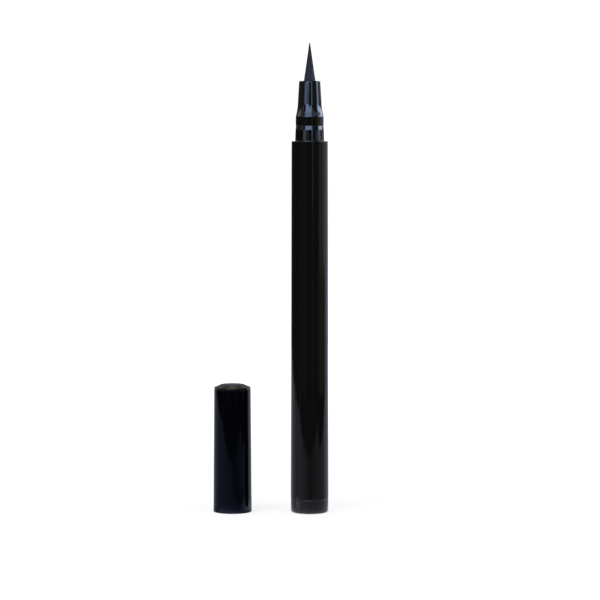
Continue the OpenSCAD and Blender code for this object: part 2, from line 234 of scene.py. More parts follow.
@dataclass(frozen=True)
class Finish:
    """Real material of two colours that blend in a grain."""

    name: str
    colour: str
    second_colour: str
    roughness: float

    def cover(
        self, shader: Node, share: NodeSocket, spread: tuple[float, float], relief: NodeSocket | None = None,
        height: float = 0.0, strength: float = 1.0, haze: NodeSocket | None = None, narrow: bool = False,
    ) -> None:
        """Links the colours, the roughness and the relief to the shader.

        Args:
            shader: Principled shader of the material.
            share: Share of the second colour.
            spread: Roughness at the low and the high end of its noise, as shares of the finish's own.
            relief: Height of the skin, unless it is smooth.
            height: Height of the full relief, in metres.
            strength: Strength of the relief.
            haze: Noise of the roughness, unless it is that of the colours.
            narrow: True where the roughness spreads over the range that noise seldom leaves, not over 0 to 1.
        """
        tree = shader.id_data
        low, high = (NOISE_LOW, NOISE_HIGH) if narrow else (0.0, 1.0)
        ends = (min(1.0, self.roughness * part) for part in spread)
        colours = blend(tree, share, linear(self.colour), linear(self.second_colour))
        tree.links.new(colours, shader.inputs["Base Color"])
        tree.links.new(span(tree, haze or share, low, high, *ends), shader.inputs["Roughness"])
        if relief is not None:
            values = {"Height": relief, "Distance": height, "Strength": strength}
            tree.links.new(add_node(tree, "ShaderNodeBump", values).outputs[0], shader.inputs["Normal"])


@dataclass(frozen=True)
class MouldedGloss(Finish):
    """Plastic moulded in a polished tool: a mirror-like skin over a deep colour.

    The eye sees crisp reflections that waver a little, because the melt freezes in flow lines along the tube.
    """

    ior: float = 1.5
    tint: tuple[float, float, float] = (1.0, 1.0, 1.0)
    flow_width_mm: float = 0.9
    flow_length_mm: float = 45.0
    ripple_width_mm: float = 3.0
    ripple_length_mm: float = 24.0
    ripple_height_mm: float = 0.0008
    haze_size_mm: float = 5.0
    haze_spread: float = 0.35
    flow_detail: float = 3.0
    ripple_detail: float = 2.0
    haze_detail: float = 4.0

    def material(self) -> Material:
        """Builds the material and returns it."""
        material, shader = new_material(self.name, {"IOR": self.ior, "Specular Tint": (*self.tint, 1.0)})
        tree = material.node_tree
        flow = grain(tree, self.flow_detail, self.flow_width_mm, self.flow_length_mm)
        ripple = grain(tree, self.ripple_detail, self.ripple_width_mm, self.ripple_length_mm)
        haze = grain(tree, self.haze_detail, self.haze_size_mm)
        spread = (1 - self.haze_spread, 1 + self.haze_spread)
        self.cover(shader, flow, spread, ripple, self.ripple_height_mm * MM, haze=haze, narrow=True)
        return material


@dataclass(frozen=True)
class GrainedPlastic(Finish):
    """Plastic from a spark-eroded tool, or left natural: a fine even grain with no mirror image."""

    grain_mm: float
    grain_height_mm: float
    ior: float = 1.5
    subsurface: float = 0.0
    subsurface_mm: float = 1.0
    spread: tuple[float, float] = (0.85, 1.15)
    detail: float = 3.0

    def material(self) -> Material:
        """Builds the material and returns it."""
        deep = {"Subsurface Weight": self.subsurface, "Subsurface Scale": self.subsurface_mm * MM}
        material, shader = new_material(self.name, {"IOR": self.ior, **deep})
        flecks = grain(material.node_tree, self.detail, self.grain_mm)
        self.cover(shader, flecks, self.spread, flecks, self.grain_height_mm * MM, narrow=True)
        return material


@dataclass(frozen=True)
class Fibre(Finish):
    """Drawn nylon or bonded polyester fibres: long fine streaks along the pen, with a soft sheen."""

    strand_mm: float
    strand_length_mm: float
    ior: float = 1.5
    tone_attribute: str = ""
    spread: tuple[float, float] = (1.15, 0.8)
    relief_share: float = 0.125
    relief_strength: float = 0.6
    detail: float = 2.0

    def material(self) -> Material:
        """Builds the material and returns it."""
        material, shader = new_material(self.name, {"IOR": self.ior})
        tree = material.node_tree
        strand = tone = grain(tree, self.detail, self.strand_mm, self.strand_length_mm)
        if self.tone_attribute:
            own = add_node(tree, "ShaderNodeAttribute", attribute_name=self.tone_attribute)
            tone = arithmetic(tree, "MULTIPLY", own.outputs["Fac"], strand)
        height = self.strand_mm * MM * self.relief_share
        self.cover(shader, tone, self.spread, strand, height, self.relief_strength)
        return material


@dataclass(frozen=True)
class Steel(Finish):
    """Stainless steel, lapped to a ball or drawn to wire: a bright metal with fine marks of its making."""

    mark_mm: float
    spread: tuple[float, float] = (0.6, 1.4)
    detail: float = 5.0

    def material(self) -> Material:
        """Builds the material and returns it."""
        material, shader = new_material(self.name, {"Metallic": 1.0})
        self.cover(shader, grain(material.node_tree, self.detail, self.mark_mm), self.spread)
        return material


@dataclass(frozen=True)
class Finishes:
    """Finish of each piece, named for its real material."""

    # Black ABS from a polished tool: near black, with the room mirrored in faint streaks
    barrel: MouldedGloss = MouldedGloss("moulded_abs_black", "#080808", "#0d0c0b", 0.06)
    # The same plastic on a small part, where the mirror image is crisper
    section: MouldedGloss = MouldedGloss(
        "moulded_abs_section", "#070708", "#0a0a0b", 0.05, flow_length_mm=12, ripple_width_mm=2.4,
        ripple_length_mm=9, ripple_height_mm=0.0005,
    )
    # Blue-black polypropylene of the cap: a shade softer, with a cool cast
    cap: MouldedGloss = MouldedGloss(
        "moulded_pp_blue_black", "#020203", "#030405", 0.05, ior=1.39, tint=(0.5, 0.66, 1.0),
        ripple_length_mm=18,
    )
    # The cap's end piece, an insert of the same resin as the barrel
    cap_top: MouldedGloss = MouldedGloss(
        "moulded_abs_end_piece", "#070707", "#0b0b0a", 0.1, flow_length_mm=4, ripple_length_mm=4,
        ripple_height_mm=0.0004,
    )
    # Dark grey plug from a spark-eroded tool: a satin skin that only glows at its edges
    plug: GrainedPlastic = GrainedPlastic("satin_abs_grey", "#18181a", "#1e1e20", 0.2, 0.35, 0.001)
    # Seals of nitrile rubber: dead matte
    seal: GrainedPlastic = GrainedPlastic("nitrile_rubber", "#141414", "#1b1b1b", 0.8, 0.2, 0.004)
    # Collar on the filaments' root, moulded matte
    collar: GrainedPlastic = GrainedPlastic("matte_pp_collar", "#2c2c30", "#38383c", 0.5, 0.25, 0.003)
    # Natural acetal of the comb, off-white and waxy
    collector: GrainedPlastic = GrainedPlastic(
        "natural_acetal", "#e2e2df", "#d6d6d2", 0.45, 0.5, 0.002, subsurface=0.15, subsurface_mm=0.8
    )
    # Natural polypropylene of the bush, a little darker
    bush: GrainedPlastic = GrainedPlastic(
        "natural_polypropylene", "#cfcfcb", "#c4c4bf", 0.5, 0.6, 0.002, subsurface=0.1, subsurface_mm=0.8
    )
    # Low-density polyethylene of the inner cap: milky and soft
    liner: GrainedPlastic = GrainedPlastic(
        "milky_polyethylene", "#dcdcd8", "#e4e4e0", 0.4, 0.8, 0.002, subsurface=0.25, subsurface_mm=1.5
    )
    # Nylon filaments wet with ink: dark, with a cool sheen on the ones that stand out
    brush: Fibre = Fibre("inked_nylon_filament", "#0d0f12", "#1e2126", 0.5, 0.12, 3.0, tone_attribute="tone")
    # Bonded polyester rod that feeds the ink
    core: Fibre = Fibre("bonded_polyester_fibre", "#cbc7bb", "#dedbd2", 0.8, 0.06, 6.0)
    # Ball of lapped stainless steel
    ball: Steel = Steel("lapped_stainless_steel", "#c4c6ca", "#b4b6ba", 0.12, 0.4)
    # Spring of drawn stainless wire
    spring: Steel = Steel("drawn_spring_wire", "#b3b5b9", "#9fa1a5", 0.28, 0.15)


FINISHES = Finishes()


@dataclass
class Outline:
    """Outline of a turned piece, as distances from its axis and heights, in millimetres."""

    points: list[tuple[float, float]] = field(default_factory=list)
    hold: float = 0.12

    def to(self, radius: float, height: float) -> "Outline":
        """Goes straight to a point and returns the outline."""
        self.points.append((radius, height))
        return self

    def arc(
        self, centre: tuple[float, float], radius: float, start: float, end: float, steps: int = 10
    ) -> "Outline":
        """Goes round an arc.

        Args:
            centre: Distance from the axis and height of the arc's centre.
            radius: Radius of the arc.
            start: Angle of its first point in degrees, 0 pointing away from the axis and 90 up.
            end: Angle of its last point.
            steps: Straight pieces in the arc.

        Returns:
            The outline.
        """
        for i in range(steps + 1):
            angle = math.radians(start + (end - start) * i / steps)
            self.to(centre[0] + radius * math.cos(angle), centre[1] + radius * math.sin(angle))
        return self

    def close(self) -> "Outline":
        """Goes back to the first point and returns the outline."""
        return self.to(*self.points[0])

    def held(self) -> list[tuple[float, float]]:
        """Lists the points, with one more near each end of a long stretch, which keeps its shading flat."""
        listed = [self.points[0]]
        for before, after in zip(self.points, self.points[1:]):
            length = math.dist(before, after)
            if length > 4 * self.hold:
                for share in (self.hold / length, 1 - self.hold / length):
                    listed.append(tuple(b + (a - b) * share for b, a in zip(before, after)))
            listed.append(after)
        return listed

    def mesh(self, name: str) -> Mesh:
        """Makes a mesh of the outline's points in metres.

        Args:
            name: Name of the mesh.

        Returns:
            The mesh, with its points in the plane of X and Z.
        """
        mesh = bpy.data.meshes.new(name)
        points = [(r * MM, 0.0, z * MM) for r, z in self.held()]
        mesh.from_pydata(points, [(i, i + 1) for i in range(len(points) - 1)], [])
        return mesh


def new_tree(name: str, **inputs: tuple[str, ...]) -> tuple[NodeTree, Any]:
    """Starts a Geometry Nodes tree with named inputs and one geometry output.

    Args:
        name: Name of the tree.
        inputs: Type of socket, and the names of the inputs of that type.

    Returns:
        The tree, and its inputs by name.
    """
    tree = bpy.data.node_groups.new(name, "GeometryNodeTree")
    for kind, labels in inputs.items():
        for label in labels:
            tree.interface.new_socket(label, in_out="INPUT", socket_type=f"NodeSocket{kind}")
    tree.interface.new_socket("Piece", in_out="OUTPUT", socket_type="NodeSocketGeometry")
    return tree, add_node(tree, "NodeGroupInput").outputs


def end_tree(tree: NodeTree, shape: NodeSocket, finish: NodeSocket) -> None:
    """Ends a tree in plain geometry with its material.

    Args:
        tree: Tree to end.
        shape: Geometry to put out.
        finish: Input that holds the material.
    """
    real = add_node(tree, "GeometryNodeRealizeInstances", {"Geometry": shape})
    dressed = add_node(tree, "GeometryNodeSetMaterial", {"Geometry": real.outputs[0], "Material": finish})
    add_node(tree, "NodeGroupOutput", {0: dressed.outputs[0]})


def place_of(tree: NodeTree) -> NodeSocket:
    """Returns the place of each point."""
    return add_node(tree, "GeometryNodeInputPosition").outputs[0]


def round_axis(tree: NodeTree, radius: NodeSocket, angle: NodeSocket) -> dict[int, NodeSocket]:
    """Returns the two parts of a place across the axis, at a radius and an angle."""
    maths = partial(arithmetic, tree)
    return {i: maths("MULTIPLY", radius, maths(way, angle)) for i, way in enumerate(("COSINE", "SINE"))}


def put(tree: NodeTree, shape: NodeSocket, parts: dict[int, NodeSocket]) -> Node:
    """Moves the points of a shape to a place, given by its parts, and returns the node."""
    place = add_node(tree, "ShaderNodeCombineXYZ", parts).outputs[0]
    return add_node(tree, "GeometryNodeSetPosition", {"Geometry": shape, "Position": place})


def remember(tree: NodeTree, shape: NodeSocket, **values: tuple[str, NodeSocket]) -> Any:
    """Keeps values on the points of a shape.

    Args:
        tree: Tree that takes the node.
        shape: Geometry with the points.
        values: Name of each value, its type and its field.

    Returns:
        The outputs: the shape, then the values.
    """
    node = add_node(tree, "GeometryNodeCaptureAttribute", domain="POINT")
    for label, (kind, _) in values.items():
        node.capture_items.new(kind, label)
    for slot, given in enumerate((shape, *(value for _, value in values.values()))):
        tree.links.new(given, node.inputs[slot])
    return node.outputs


def turned_tree() -> NodeTree:
    """Builds the tree that turns an outline about the Z axis.

    A grid has one row for each step of the turn and one column for each point of the outline. Each of its
    corners goes to the outline's point of its column, turned by the angle of its row.

    Returns:
        The tree.
    """
    tree, given = new_tree(
        "turned_piece", Geometry=("Outline",), Int=("Segments",), Float=("Weld",), Material=("Finish",)
    )
    maths = partial(arithmetic, tree)
    outline = given["Outline"]
    count = add_node(tree, "GeometryNodeAttributeDomainSize", {"Geometry": outline}).outputs["Point Count"]
    rows = maths("ADD", given["Segments"], 1.0)
    grid = add_node(
        tree, "GeometryNodeMeshGrid", {"Size X": 1.0, "Size Y": 1.0, "Vertices X": rows, "Vertices Y": count}
    )
    corner = split(tree, place_of(tree))
    turn = maths("MULTIPLY_ADD", corner["X"], math.tau, math.pi)
    column = maths("MULTIPLY", maths("ADD", corner["Y"], 0.5), maths("SUBTRACT", count, 1.0))
    number = add_node(tree, "FunctionNodeFloatToInt", {0: column}, rounding_mode="ROUND").outputs[0]
    point = add_node(
        tree, "GeometryNodeSampleIndex", {"Geometry": outline, "Value": place_of(tree), "Index": number},
        data_type="FLOAT_VECTOR", domain="POINT",
    )
    parts = split(tree, point.outputs[0])
    shape = put(tree, grid.outputs["Mesh"], {**round_axis(tree, parts["X"], turn), 2: parts["Z"]})
    welded = add_node(
        tree, "GeometryNodeMergeByDistance", {"Geometry": shape.outputs[0], "Distance": given["Weld"]}
    )
    end_tree(tree, welded.outputs[0], given["Finish"])
    return tree


def bundle_tree() -> NodeTree:
    """Builds the tree that grows a pointed bundle of filaments.

    The roots lie on a spiral of golden angles, evenly over the bundle's end. Each filament leans towards the
    axis, narrows with the bundle and ends where the bundle's cone does, so that the tips draw the cone.

    Returns:
        The tree.
    """
    sizes = ("Bundle Radius", "Bundle Length", "Filament Radius", "Height")
    shares = ("Lean", "Blunt", "Ragged", "Taper Start", "Tip Width")
    tree, given = new_tree(
        "filament_bundle", Geometry=("Ink Body",), Int=("Filaments", "Sides", "Rings", "Seed"),
        Float=sizes + shares, Material=("Finish",),
    )
    maths = partial(arithmetic, tree)
    number = add_node(tree, "GeometryNodeInputIndex").outputs[0]
    spread = maths("SQRT", maths("DIVIDE", maths("ADD", number, 0.5), given["Filaments"]))
    angle = maths("MULTIPLY", number, math.pi * (3 - math.sqrt(5)))
    radius = maths("MULTIPLY", spread, given["Bundle Radius"])
    root = add_node(tree, "ShaderNodeCombineXYZ", round_axis(tree, radius, angle)).outputs[0]
    # Where a leaning filament meets the cone, which ends at the blunt tip
    leaning = maths("MULTIPLY", given["Lean"], spread)
    rest = maths("SUBTRACT", maths("SUBTRACT", 1.0, given["Blunt"]), leaning)
    full = maths("MINIMUM", 1.0, maths("DIVIDE", maths("SUBTRACT", 1.0, spread), rest))
    random = add_node(tree, "FunctionNodeRandomValue", {"Seed": given["Seed"]}, data_type="FLOAT")
    # The output of this node's float type comes after that of its vector type
    chance = next(o for o in random.outputs if o.type == "VALUE" and o.enabled)
    end = maths("MULTIPLY", full, maths("SUBTRACT", 1.0, maths("MULTIPLY", given["Ragged"], chance)))
    points = add_node(tree, "GeometryNodePoints", {"Count": given["Filaments"]}).outputs[0]
    roots = remember(tree, points, root=("VECTOR", root), end=("FLOAT", end), tone=("FLOAT", chance))

    strand = add_node(
        tree, "GeometryNodeMeshCylinder",
        {"Vertices": given["Sides"], "Side Segments": given["Rings"], "Radius": 1.0, "Depth": 1.0},
    )
    strands = remember(tree, strand.outputs["Mesh"], own=("VECTOR", place_of(tree)))
    copies = add_node(tree, "GeometryNodeInstanceOnPoints", {"Points": roots[0], "Instance": strands[0]})
    real = add_node(tree, "GeometryNodeRealizeInstances", {"Geometry": copies.outputs[0]})

    own = split(tree, strands[1])
    start = split(tree, roots[1])
    along = maths("ADD", own["Z"], 0.5)
    height = maths("MULTIPLY", along, roots[2])
    narrowing = maths("SUBTRACT", 1.0, maths("MULTIPLY", given["Lean"], height))
    taper = span(tree, along, given["Taper Start"], 1.0, 1.0, given["Tip Width"])
    width = maths("MULTIPLY", maths("MULTIPLY", narrowing, taper), given["Filament Radius"])
    parts = {
        i: maths("MULTIPLY_ADD", start[way], narrowing, maths("MULTIPLY", own[way], width))
        for i, way in enumerate("XY")
    }
    parts[2] = maths("ADD", maths("MULTIPLY", height, given["Bundle Length"]), given["Height"])
    shaped = put(tree, real.outputs[0], parts)
    toned = add_node(
        tree, "GeometryNodeStoreNamedAttribute",
        {"Geometry": shaped.outputs[0], "Name": FINISHES.brush.tone_attribute, "Value": roots[3]},
        data_type="FLOAT", domain="POINT",
    )
    joined = add_node(tree, "GeometryNodeJoinGeometry")
    for shape in (given["Ink Body"], toned.outputs[0]):
        tree.links.new(shape, joined.inputs[0])
    end_tree(tree, joined.outputs[0], given["Finish"])
    return tree


def coil_tree() -> NodeTree:
    """Builds the tree that winds a round wire along a helix and returns it."""
    tree, given = new_tree(
        "wire_coil", Float=("Turns", "Coil Radius", "Rise", "Wire Radius"), Int=("Steps", "Sides"),
        Material=("Finish",),
    )
    radius = given["Coil Radius"]
    path = add_node(
        tree, "GeometryNodeCurveSpiral",
        {
            "Resolution": given["Steps"], "Rotations": given["Turns"], "Start Radius": radius,
            "End Radius": radius, "Height": given["Rise"],
        },
    )
    wire = add_node(
        tree, "GeometryNodeCurvePrimitiveCircle",
        {"Resolution": given["Sides"], "Radius": given["Wire Radius"]}, mode="RADIUS",
    )
    tube = add_node(
        tree, "GeometryNodeCurveToMesh",
        {"Curve": path.outputs[0], "Profile Curve": wire.outputs[0], "Fill Caps": True},
    )
    end_tree(tree, tube.outputs[0], given["Finish"])
    return tree


def signed_volume(mesh: Mesh) -> float:
    """Returns the volume inside a closed mesh, which is negative where its faces point inwards."""
    mesh.calc_loop_triangles()
    points = [v.co for v in mesh.vertices]
    return sum(
        points[a].dot(points[b].cross(points[c])) for a, b, c in (t.vertices for t in mesh.loop_triangles)
    ) / 6


@dataclass(frozen=True)
class Workshop:
    """Trees that make the meshes, and the fineness of what they make."""

    turned: NodeTree
    bundle: NodeTree
    coil: NodeTree
    segments: int = 192
    weld_mm: float = 0.0004
    crease_deg: float = 32.0

    def run(self, name: str, mesh: Mesh, tree: NodeTree, values: dict[str, Any], place: Vector) -> Object:
        """Runs a tree on a mesh and keeps the result as a plain mesh in its place.

        Args:
            name: Name of the piece.
            mesh: Mesh that the tree starts from.
            tree: Tree to run.
            values: Value of each named input.
            place: Shift of the finished mesh, in metres.

        Returns:
            The piece, with its object at the origin.
        """
        piece = new_object(name, mesh)
        modifier = piece.modifiers.new("shape", "NODES")
        modifier.node_group = tree
        for item in tree.interface.items_tree:
            if item.item_type == "SOCKET" and item.in_out == "INPUT" and item.name in values:
                modifier[item.identifier] = values[item.name]
        graph = bpy.context.evaluated_depsgraph_get()
        made = bpy.data.meshes.new_from_object(piece.evaluated_get(graph))
        piece.modifiers.remove(modifier)
        piece.data = made
        made.name = name
        made.transform(Matrix.Translation(place))
        if signed_volume(made) < 0:
            made.flip_normals()
        made.shade_smooth()
        made.set_sharp_from_angle(angle=math.radians(self.crease_deg))
        return piece

    def turn(self, name: str, outline: Outline, finish: Material, place: Vector = Vector()) -> Object:
        """Turns an outline into a piece.

        Args:
            name: Name of the piece.
            outline: Outline of the piece.
            finish: Material of the piece.
            place: Where the piece's axis stands, in metres.

        Returns:
            The piece.
        """
        values = {"Segments": self.segments, "Weld": self.weld_mm * MM, "Finish": finish}
        return self.run(name, outline.mesh(name), self.turned, values, place)

    def fit(
        self, name: str, outline: Outline, node: str, finish: Finish, body: Body = Body.PEN,
        place: Vector = Vector(),
    ) -> Object:
        """Turns an outline into a piece that stands for a frame node.

        Args:
            name: Name of the piece.
            outline: Outline of the piece.
            node: Node that it replaces.
            finish: Finish of the piece.
            body: Body that it moves with.
            place: Where the piece's axis stands, in metres.

        Returns:
            The piece.
        """
        return stand_in_for(self.turn(name, outline, finish.material(), place), node, body)


def stand_in_for(piece: Object, node: str, body: Body) -> Object:
    """Lets a piece take a frame node's place.

    Args:
        piece: Finished piece.
        node: Node that it replaces.
        body: Body that it moves with.

    Returns:
        The piece.
    """
    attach(piece, body.value)
    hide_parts(node)
    log.info("%s stands for %s on body %s, %d faces", piece.name, node, body.value, len(piece.data.polygons))
    return piece


def dress(node: str, finish: Material) -> None:
    """Gives a frame node that stays visible its material.

    Args:
        node: Name of the node.
        finish: Material for all its faces.
    """
    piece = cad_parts[node]
    piece.data.materials.clear()
    piece.data.materials.append(finish)
    log.info("%s keeps its frame mesh, %d faces", node, len(piece.data.polygons))


def top_mm(node: str) -> float:
    """Returns the height of a node's top, in millimetres."""
    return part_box(node)[1].z / MM


def bottom_mm(node: str) -> float:
    """Returns the height of a node's lowest point, in millimetres."""
    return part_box(node)[0].z / MM


def radius_mm(node: str) -> float:
    """Returns the largest radius of a round node, in millimetres."""
    low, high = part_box(node)
    return (high.x - low.x) / 2 / MM


@dataclass
class SealRing:
    """Rubber ring in the groove of a turned piece, in millimetres."""

    cord: float
    slack: float = 0.2
    gap: float = 0.02

    def groove(self, outline: Outline, wall: float, bore: float, height: float, upwards: bool = True) -> None:
        """Cuts the ring's groove into an outline that runs up or down a wall.

        Args:
            outline: Outline to add the groove to.
            wall: Radius of the wall.
            bore: Radius of the bore that the ring seals against.
            height: Height of the groove's middle.
            upwards: True where the outline runs upwards.
        """
        half = (self.cord + self.slack) / 2 * (1 if upwards else -1)
        floor = bore - self.cord - self.gap
        outline.to(wall, height - half).to(floor, height - half)
        outline.to(floor, height + half).to(wall, height + half)

    def outline(self, bore: float, height: float) -> Outline:
        """Returns the outline of the ring itself, inside its bore at a height."""
        centre = (bore - self.gap - self.cord / 2, height)
        return Outline().arc(centre, (self.cord - self.gap) / 2, 0, 360, steps=24)


@dataclass
class Barrel:
    """Barrel with its tail plug and the plug's seal. Sizes are in millimetres."""

    front_r: float = 5.03
    socket_wall: float = 0.93
    socket_ledge: float = 0.3
    socket_len: float = 25.0
    shoulder_round: float = 0.15
    tail_round: float = 0.14
    lead_in: float = 0.2
    plug_inset: float = 0.04
    plug_round: float = 0.6
    plug_edge: float = 0.2
    spigot_len: float = 7.0
    cup_r: float = 2.25
    cup_floor: float = 2.0
    cup_drop: float = 0.5
    press_gap: float = 0.03
    seal: SealRing = field(default_factory=lambda: SealRing(0.8))

    def __post_init__(self) -> None:
        """Takes the heights and the tail's radius from the frame."""
        self.plug_top = bottom_mm("barrel")
        self.shoulder_z = top_mm("barrel")
        self.tail_r = radius_mm("barrel")
        self.socket_r = self.front_r - self.socket_wall
        self.tank_r = self.socket_r - self.socket_ledge
        self.seal_z = self.plug_top + self.spigot_len / 2

    def tube(self) -> Outline:
        """Returns the outline of the barrel: its wall, its socket and the ink tank's bore."""
        tail, front, lead = self.tail_round, self.shoulder_round, self.lead_in
        socket_z = self.shoulder_z - self.socket_len
        outline = Outline().to(self.tank_r, self.plug_top)
        outline.arc((self.tail_r - tail, self.plug_top + tail), tail, -90, 0, steps=6)
        outline.arc((self.front_r - front, self.shoulder_z - front), front, 0, 90)
        outline.to(self.socket_r + lead, self.shoulder_z).to(self.socket_r, self.shoulder_z - lead)
        return outline.to(self.socket_r, socket_z).to(self.tank_r, socket_z).close()

    def plug(self) -> Outline:
        """Returns the outline of the tail plug: its rounded foot, its flange and its spigot with a cup."""
        flange_r = self.tail_r - self.plug_inset
        spigot_r = self.tank_r - self.press_gap
        spigot_top = self.plug_top + self.spigot_len
        edge = self.plug_edge
        foot = self.plug_round
        outline = Outline().to(0, 0).arc((flange_r - foot, foot), foot, -90, 0, steps=16)
        outline.arc((flange_r - edge, self.plug_top - edge), edge, 0, 90, steps=6)
        outline.to(spigot_r, self.plug_top)
        self.seal.groove(outline, spigot_r, self.tank_r, self.seal_z)
        outline.to(spigot_r, spigot_top - self.lead_in).to(spigot_r - self.lead_in, spigot_top)
        outline.to(self.cup_r, spigot_top).to(self.cup_r, self.cup_floor + self.cup_drop)
        return outline.to(0, self.cup_floor)

    def build(self, shop: Workshop) -> None:
        """Builds and dresses the barrel, its plug and its seal."""
        shop.fit("barrel_tube", self.tube(), "barrel", FINISHES.barrel)
        shop.fit("tail_plug_satin", self.plug(), "tail_plug", FINISHES.plug)
        shop.fit("tail_seal", self.seal.outline(self.tank_r, self.seal_z), "tail_seal_ring", FINISHES.seal)


@dataclass
class FrontSection:
    """Glossy front section with its seal, the brush and the collar on the brush's root, in millimetres."""

    mouth_r: float = 2.95
    waist_r: float = 3.3
    bead_r: float = 3.88
    step_r: float = 3.94
    root_r: float = 4.03
    cone_len: float = 6.3
    flare_len: float = 3.62
    bead_len: float = 2.38
    groove_depth: float = 0.09
    groove_ledge: float = 0.15
    ramp_len: float = 1.15
    step_len: float = 3.1
    mouth_round: float = 0.28
    hole_round: float = 0.1
    root_fillet: float = 0.1
    shank_r: float = 4.07
    shank_wall: float = 0.57
    neck_wall: float = 0.85
    seal_land: float = 5.0
    mouth_land: float = 2.1
    lead_in: float = 0.2
    press_gap: float = 0.03
    hole_gap: float = 0.05
    collar_wall: float = 0.5
    seal: SealRing = field(default_factory=lambda: SealRing(0.6))
    filaments: int = 720
    filament_r: float = 0.056
    lean: float = 0.87
    blunt_r: float = 0.1
    ragged: float = 0.03
    taper_start: float = 0.55
    tip_width: float = 0.3
    nib_sunk: float = 0.4
    # Shares of the bundle's radius and height that the ink between the filaments fills
    body_width: float = 0.9
    body_height: float = 0.86
    strand_sides: int = 6
    strand_rings: int = 5
    seed: int = 7

    def __post_init__(self) -> None:
        """Takes the heights and the brush's radius from the frame."""
        self.shoulder_z = top_mm("barrel")
        self.shank_z = bottom_mm("section")
        self.mouth_z = top_mm("section")
        self.brush_r = radius_mm("brush_nib")
        self.brush_root_z = bottom_mm("brush_nib")
        self.brush_tip_z = top_mm("brush_nib")
        self.socket_r = self.shank_r + self.press_gap
        self.seal_z = self.shoulder_z - self.seal_land / 2

    def flare(self, outline: Outline, steps: int = 20) -> None:
        """Adds the flare from the bead up to the waist, a curve that leaves the cone without a kink."""
        slope = (self.waist_r - self.mouth_r) / self.cone_len
        rest = self.bead_r - self.waist_r - slope * self.flare_len
        waist_z = self.mouth_z - self.cone_len
        for i in range(steps + 1):
            down = self.flare_len * (1 - i / steps)
            outline.to(self.waist_r + slope * down + rest * (down / self.flare_len) ** 2, waist_z - down)

    def section(self) -> Outline:
        """Returns the outline of the section, from its shank over the groove, bead and flare to its mouth."""
        base, lead, fillet = self.shoulder_z, self.lead_in, self.root_fillet
        ramp_z = base + self.step_len + self.ramp_len
        groove_r = self.bead_r - self.groove_depth
        chamber_r = self.shank_r - self.shank_wall
        front_r = groove_r - self.neck_wall
        collar_r = self.brush_r + self.collar_wall + 2 * self.press_gap
        hole_r = self.brush_r + self.hole_gap
        collar_z = self.mouth_z - self.mouth_land
        chamber_z = base - self.seal_land
        front_z = ramp_z + self.groove_ledge + self.bead_len / 2
        outline = Outline().to(self.shank_r - lead, self.shank_z).to(self.shank_r, self.shank_z + lead)
        self.seal.groove(outline, self.shank_r, self.socket_r, self.seal_z)
        outline.to(self.shank_r, base).to(self.root_r + fillet, base)
        outline.arc((self.root_r + fillet, base + fillet), fillet, 270, 180, steps=6)
        outline.to(self.step_r, base + self.step_len).to(groove_r, ramp_z)
        outline.to(self.bead_r, ramp_z + self.groove_ledge)
        self.flare(outline)
        rim, hole = self.mouth_round, self.hole_round
        outline.arc((self.mouth_r - rim, self.mouth_z - rim), rim, 3, 90)
        outline.arc((hole_r + hole, self.mouth_z - hole), hole, 90, 180, steps=5)
        outline.to(hole_r, collar_z).to(collar_r, collar_z).to(collar_r, front_z)
        outline.to(front_r, front_z).to(front_r, chamber_z).to(chamber_r, chamber_z)
        return outline.to(chamber_r, self.shank_z).close()

    def collar(self) -> Outline:
        """Returns the outline of the collar that holds the filaments' roots."""
        inner = self.brush_r + self.press_gap
        outer = inner + self.collar_wall
        top = self.mouth_z - self.mouth_land
        outline = Outline().to(inner, self.brush_root_z).to(outer, self.brush_root_z)
        return outline.to(outer, top - self.lead_in).to(outer - self.lead_in, top).to(inner, top).close()

    def ink_body(self) -> Outline:
        """Returns the outline of what fills the bundle: its glued root and the ink between the filaments."""
        nib_z = self.mouth_z - self.nib_sunk
        top_z = nib_z + (self.brush_tip_z - nib_z) * self.body_height
        width = self.brush_r * self.body_width
        outline = Outline().to(0, self.brush_root_z).to(self.brush_r, self.brush_root_z)
        outline.to(self.brush_r, nib_z).to(width, nib_z)
        return outline.to(width * (1 - self.body_height), top_z).to(0, top_z)

    def brush(self, shop: Workshop) -> Object:
        """Builds the brush: filaments that grow from the glued root and draw a pointed cone.

        Args:
            shop: Trees to build with.

        Returns:
            The brush.
        """
        finish = FINISHES.brush.material()
        nib_z = self.mouth_z - self.nib_sunk
        body = shop.turn("brush_filaments", self.ink_body(), finish)
        values = {
            "Filaments": self.filaments,
            "Bundle Radius": (self.brush_r - self.filament_r) * MM,
            "Bundle Length": (self.brush_tip_z - nib_z) * MM,
            "Filament Radius": self.filament_r * MM,
            "Lean": self.lean,
            "Blunt": self.blunt_r / self.brush_r,
            "Ragged": self.ragged,
            "Taper Start": self.taper_start,
            "Tip Width": self.tip_width,
            "Sides": self.strand_sides,
            "Rings": self.strand_rings,
            "Seed": self.seed,
            "Height": nib_z * MM,
            "Finish": finish,
        }
        mesh = body.data
        bpy.data.objects.remove(body)
        return shop.run("brush_filaments", mesh, shop.bundle, values, Vector())

    def build(self, shop: Workshop) -> None:
        """Builds and dresses the section, its seal, the collar and the brush."""
        shop.fit("section_body", self.section(), "section", FINISHES.section)
        seal = self.seal.outline(self.socket_r, self.seal_z)
        shop.fit("section_seal", seal, "section_seal_ring", FINISHES.seal)
        shop.fit("collar_ring", self.collar(), "brush_collar", FINISHES.collar)
        stand_in_for(self.brush(shop), "brush_nib", Body.PEN)


